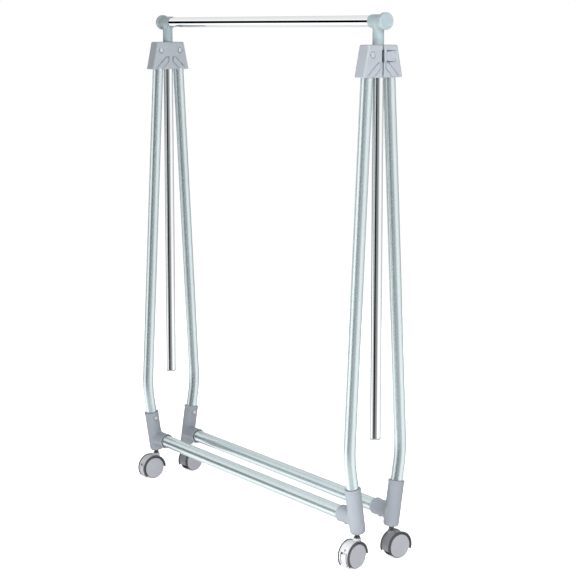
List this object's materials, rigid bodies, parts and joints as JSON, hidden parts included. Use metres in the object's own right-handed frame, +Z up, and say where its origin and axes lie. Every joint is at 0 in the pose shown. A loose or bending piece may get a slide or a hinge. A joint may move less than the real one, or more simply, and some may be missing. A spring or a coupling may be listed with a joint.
{
  "type": "rolling clothes rack",
  "caption": "Rolling clothes rack with bent-leg side frames, a chromed hanging rail on telescopic posts, flip-lever clamps and swivel casters.",
  "frame": {"origin": "on the floor under the middle of the rack", "axes": "+X along the hanging rail, -Y towards the side with the braked casters, +Z up"},
  "size_m": [0.828, 0.1692, 1.0765],
  "materials": {
    "chrome_tube": "polished chrome plate",
    "painted_tube": "satin silver-green metallic paint",
    "fitting_grey": "satin blue-grey moulding",
    "moulded_grey": "satin grey moulding",
    "caster_grey": "satin grey moulding",
    "hub_grey": "fine-textured grey moulding",
    "tread_black": "black tread",
    "dark_steel": "dark plated steel",
    "zinc_screw": "bright zinc",
    "black_nylon": "black nylon sleeve",
    "nylon": "natural nylon"
  },
  "bodies": {
    "base_frame": {"clamp_head_left": "moulded_grey", "post_bush_left": "black_nylon", "lever_pin_left": "dark_steel", "clamp_head_right": "moulded_grey", "post_bush_right": "black_nylon", "lever_pin_right": "dark_steel", "bottom_rail_front": "painted_tube", "bottom_rail_back": "painted_tube", "leg_plugs": "nylon", "head_bolts": "zinc_screw", "head_nuts": "zinc_screw", "leg_screws": "zinc_screw", "rail_screws": "zinc_screw", "stem_sockets": "nylon", "leg_front_left": "painted_tube", "foot_connector_front_left": "moulded_grey", "caster_stem_front_left": "dark_steel", "leg_back_left": "painted_tube", "foot_connector_back_left": "moulded_grey", "caster_stem_back_left": "dark_steel", "leg_front_right": "painted_tube", "foot_connector_front_right": "moulded_grey", "caster_stem_front_right": "dark_steel", "leg_back_right": "painted_tube", "foot_connector_back_right": "moulded_grey", "caster_stem_back_right": "dark_steel"},
    "rail_carriage": {"hanging_rail": "chrome_tube", "tee_left": "fitting_grey", "end_cap_left": "fitting_grey", "post_left": "chrome_tube", "post_plug_left": "moulded_grey", "tee_right": "fitting_grey", "end_cap_right": "fitting_grey", "post_right": "chrome_tube", "post_plug_right": "moulded_grey"},
    "clamp_lever_left": {"clamp_lever_left": "moulded_grey"},
    "clamp_lever_right": {"clamp_lever_right": "moulded_grey"},
    "caster_front_left": {"caster_hood_front_left": "caster_grey"},
    "wheels_front_left": {"caster_axle_front_left": "dark_steel", "caster_hub_discs_front_left": "hub_grey", "caster_wheel_outer_front_left": "tread_black", "caster_wheel_inner_front_left": "tread_black"},
    "caster_back_left": {"caster_hood_back_left": "caster_grey"},
    "wheels_back_left": {"caster_axle_back_left": "dark_steel", "caster_hub_discs_back_left": "hub_grey", "caster_wheel_outer_back_left": "tread_black", "caster_wheel_inner_back_left": "tread_black"},
    "caster_front_right": {"caster_hood_front_right": "caster_grey"},
    "wheels_front_right": {"caster_axle_front_right": "dark_steel", "caster_hub_discs_front_right": "hub_grey", "caster_wheel_outer_front_right": "tread_black", "caster_wheel_inner_front_right": "tread_black"},
    "caster_back_right": {"caster_hood_back_right": "caster_grey"},
    "wheels_back_right": {"caster_axle_back_right": "dark_steel", "caster_hub_discs_back_right": "hub_grey", "caster_wheel_outer_back_right": "tread_black", "caster_wheel_inner_back_right": "tread_black"},
    "brake_pedal_front_left": {"brake_pedal_front_left": "caster_grey"},
    "brake_pedal_front_right": {"brake_pedal_front_right": "caster_grey"}
  },
  "joints": [
    {"name": "rail_height", "type": "slide", "parent": "base_frame", "child": "rail_carriage", "axis": [0, 0, 1], "range_m": [0, 0.62]},
    {"name": "lever_left", "type": "hinge", "parent": "base_frame", "child": "clamp_lever_left", "pos_m": [-0.4004, -0.013, 0.9945], "axis": [0, 0, -1], "range_deg": [0, 90]},
    {"name": "lever_right", "type": "hinge", "parent": "base_frame", "child": "clamp_lever_right", "pos_m": [0.4004, 0.013, 0.9945], "axis": [0, 0, -1], "range_deg": [0, 90]},
    {"name": "swivel_front_left", "type": "hinge", "parent": "base_frame", "child": "caster_front_left", "pos_m": [-0.388, -0.043, 0.057], "axis": [0, 0, 1], "continuous": true},
    {"name": "roll_front_left", "type": "hinge", "parent": "caster_front_left", "child": "wheels_front_left", "pos_m": [-0.388, -0.055, 0.025], "axis": [1, 0, 0], "continuous": true},
    {"name": "brake_front_left", "type": "hinge", "parent": "caster_front_left", "child": "brake_pedal_front_left", "pos_m": [-0.388, -0.0752, 0.03235], "axis": [-1, 0, 0], "range_deg": [0, 14]},
    {"name": "swivel_back_left", "type": "hinge", "parent": "base_frame", "child": "caster_back_left", "pos_m": [-0.388, 0.043, 0.057], "axis": [0, 0, 1], "continuous": true},
    {"name": "roll_back_left", "type": "hinge", "parent": "caster_back_left", "child": "wheels_back_left", "pos_m": [-0.39008, 0.05482, 0.025], "axis": [-0.9848, -0.1736, 0], "continuous": true},
    {"name": "swivel_front_right", "type": "hinge", "parent": "base_frame", "child": "caster_front_right", "pos_m": [0.388, -0.043, 0.057], "axis": [0, 0, 1], "continuous": true},
    {"name": "roll_front_right", "type": "hinge", "parent": "caster_front_right", "child": "wheels_front_right", "pos_m": [0.39008, -0.05482, 0.025], "axis": [0.9848, 0.1736, 0], "continuous": true},
    {"name": "brake_front_right", "type": "hinge", "parent": "caster_front_right", "child": "brake_pedal_front_right", "pos_m": [0.39359, -0.07471, 0.03235], "axis": [-0.9848, -0.1736, 0], "range_deg": [0, 14]},
    {"name": "swivel_back_right", "type": "hinge", "parent": "base_frame", "child": "caster_back_right", "pos_m": [0.388, 0.043, 0.057], "axis": [0, 0, 1], "continuous": true},
    {"name": "roll_back_right", "type": "hinge", "parent": "caster_back_right", "child": "wheels_back_right", "pos_m": [0.388, 0.055, 0.025], "axis": [-1, 0, 0], "continuous": true}
  ]
}
